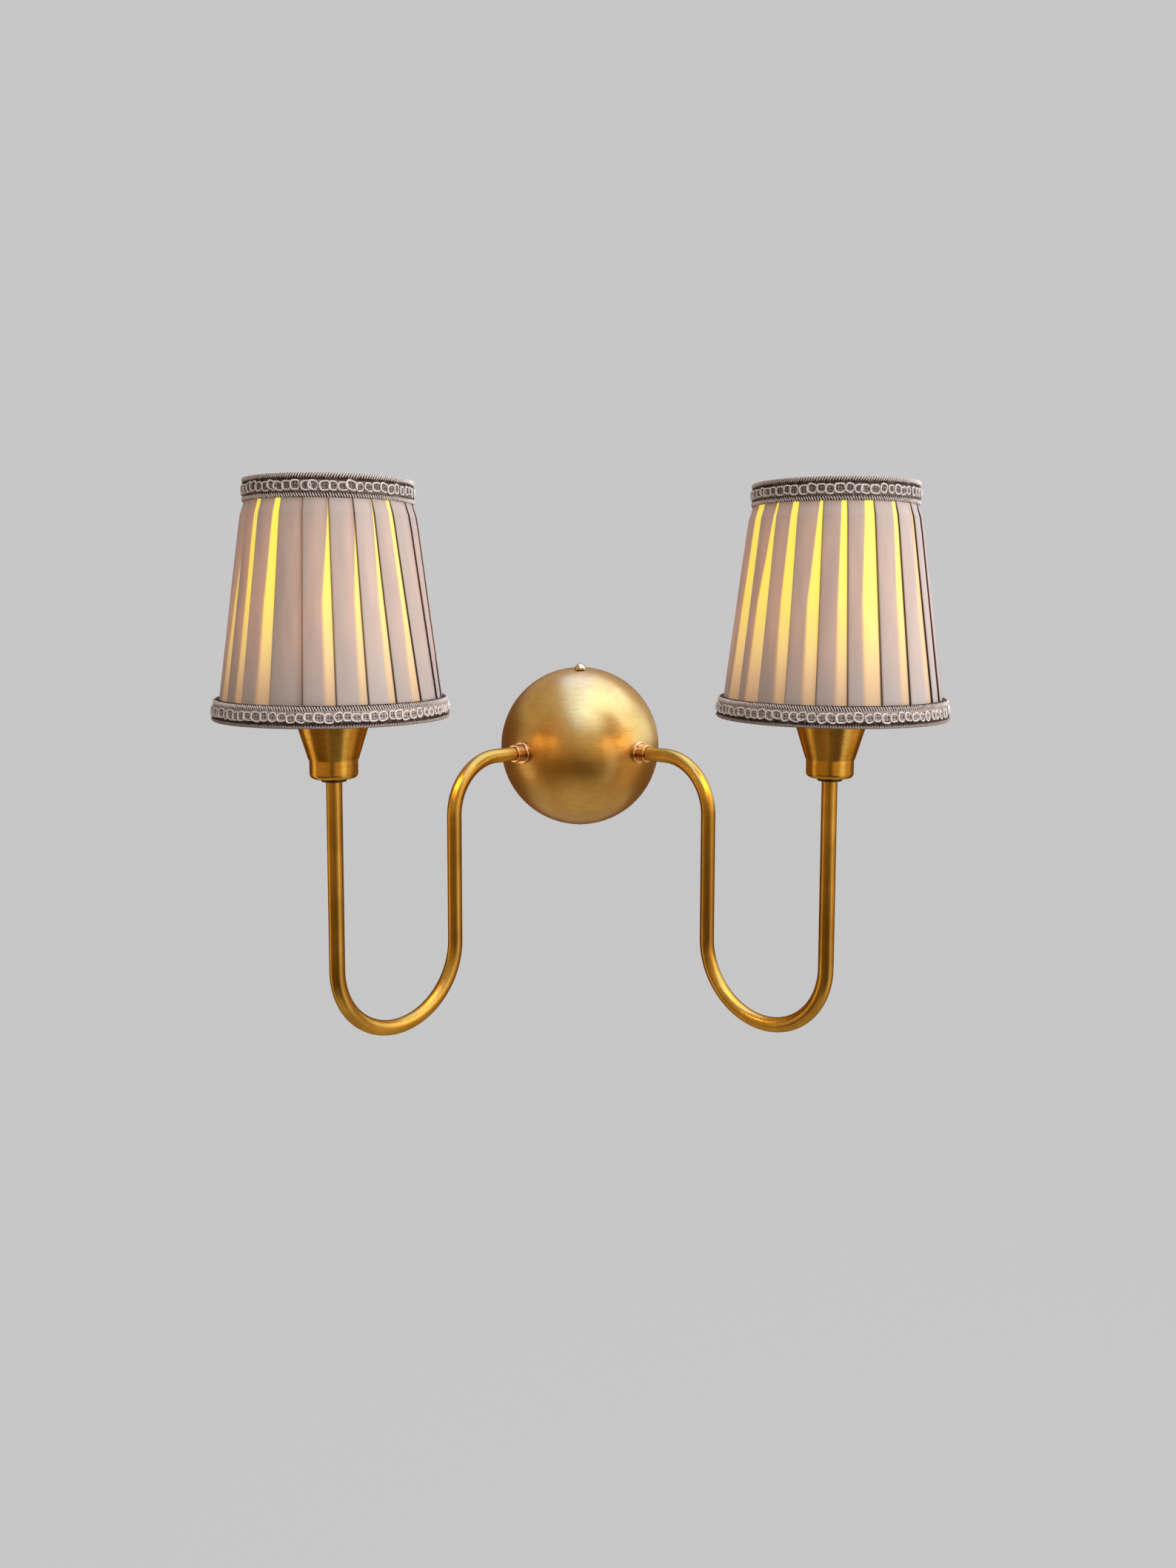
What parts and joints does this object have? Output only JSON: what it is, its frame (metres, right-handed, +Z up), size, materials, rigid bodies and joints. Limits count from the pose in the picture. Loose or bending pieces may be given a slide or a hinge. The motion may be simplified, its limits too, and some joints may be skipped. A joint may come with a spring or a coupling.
{
  "type": "double arm wall sconce",
  "caption": "Wall sconce with a half-ball brass canopy, two swan-neck tube arms splayed forward, and pleated cloth shades trimmed with braid.",
  "frame": {"origin": "on the wall, behind the canopy's centre, midway between the two wall screws", "axes": "+X to the right along the wall, +Y into the wall, +Z up; the lamp stands out along -Y"},
  "size_m": [0.4594, 0.2317, 0.3628],
  "materials": {
    "satin_brass": "satin, brushed",
    "polished_brass": "polished",
    "dark_brass": "darkened",
    "bracket_steel": "zinc plated",
    "screw_steel": "zinc plated",
    "contact_brass": "bright",
    "block_plastic": "moulded",
    "wire_sleeve": "smooth",
    "earth_sleeve": "smooth",
    "holder_plastic": "moulded",
    "shade_wire": "white, coated",
    "cap_metal": "bright",
    "insulator": "smooth",
    "bulb_plastic": "smooth",
    "board": "smooth",
    "frosted_glass": "frosted",
    "lining_cloth": "smooth, thin",
    "pleated_cloth": "satin, knife pleated",
    "braid_cloth": "woven gimp braid"
  },
  "bodies": {
    "wall_frame": {"wall_bracket": "bracket_steel", "canopy": "satin_brass", "canopy_screw": "polished_brass", "canopy_stud": "screw_steel", "terminal_block": "block_plastic", "terminal_poles": "contact_brass", "earth_screw": "screw_steel", "earth_lead": "earth_sleeve", "left_collar": "polished_brass", "left_collar_washer": "screw_steel", "left_collar_nut": "contact_brass", "left_arm": "satin_brass", "left_arm_wires": "wire_sleeve", "left_seat_nut": "dark_brass", "left_cup": "satin_brass", "left_cone": "satin_brass", "left_lampholder": "holder_plastic", "left_socket_shell": "contact_brass", "left_centre_contact": "contact_brass", "left_holder_screws": "screw_steel", "right_collar": "polished_brass", "right_collar_washer": "screw_steel", "right_collar_nut": "contact_brass", "right_arm": "satin_brass", "right_arm_wires": "wire_sleeve", "right_seat_nut": "dark_brass", "right_cup": "satin_brass", "right_cone": "satin_brass", "right_lampholder": "holder_plastic", "right_socket_shell": "contact_brass", "right_centre_contact": "contact_brass", "right_holder_screws": "screw_steel"},
    "left_bulb": {"left_bulb_cap": "cap_metal", "left_bulb_contact": "insulator", "left_bulb_housing": "bulb_plastic", "left_bulb_board": "board", "left_bulb_glass": "frosted_glass"},
    "left_shade": {"left_shade_fitter": "shade_wire", "left_shade_frame": "shade_wire", "left_shade_lining": "lining_cloth", "left_shade_cover": "pleated_cloth", "left_top_braid": "braid_cloth", "left_bottom_braid": "braid_cloth", "left_top_binding": "braid_cloth", "left_bottom_binding": "braid_cloth"},
    "left_ring": {"left_shade_ring": "holder_plastic"},
    "right_bulb": {"right_bulb_cap": "cap_metal", "right_bulb_contact": "insulator", "right_bulb_housing": "bulb_plastic", "right_bulb_board": "board", "right_bulb_glass": "frosted_glass"},
    "right_shade": {"right_shade_fitter": "shade_wire", "right_shade_frame": "shade_wire", "right_shade_lining": "lining_cloth", "right_shade_cover": "pleated_cloth", "right_top_braid": "braid_cloth", "right_bottom_braid": "braid_cloth", "right_top_binding": "braid_cloth", "right_bottom_binding": "braid_cloth"},
    "right_ring": {"right_shade_ring": "holder_plastic"}
  },
  "joints": [
    {"name": "left_shade_turn", "type": "hinge", "parent": "wall_frame", "child": "left_shade", "pos_m": [-0.15698, -0.15898, 0.0465], "axis": [0, 0, 1], "continuous": true},
    {"name": "left_ring_off", "type": "slide", "parent": "wall_frame", "child": "left_ring", "axis": [0, 0, 1], "range_m": [0, 0.009]},
    {"name": "left_bulb_out", "type": "slide", "parent": "wall_frame", "child": "left_bulb", "axis": [0, 0, 1], "range_m": [0, 0.16]},
    {"name": "right_shade_turn", "type": "hinge", "parent": "wall_frame", "child": "right_shade", "pos_m": [0.15698, -0.15898, 0.0465], "axis": [0, 0, 1], "continuous": true},
    {"name": "right_ring_off", "type": "slide", "parent": "wall_frame", "child": "right_ring", "axis": [0, 0, 1], "range_m": [0, 0.009]},
    {"name": "right_bulb_out", "type": "slide", "parent": "wall_frame", "child": "right_bulb", "axis": [0, 0, 1], "range_m": [0, 0.16]}
  ]
}
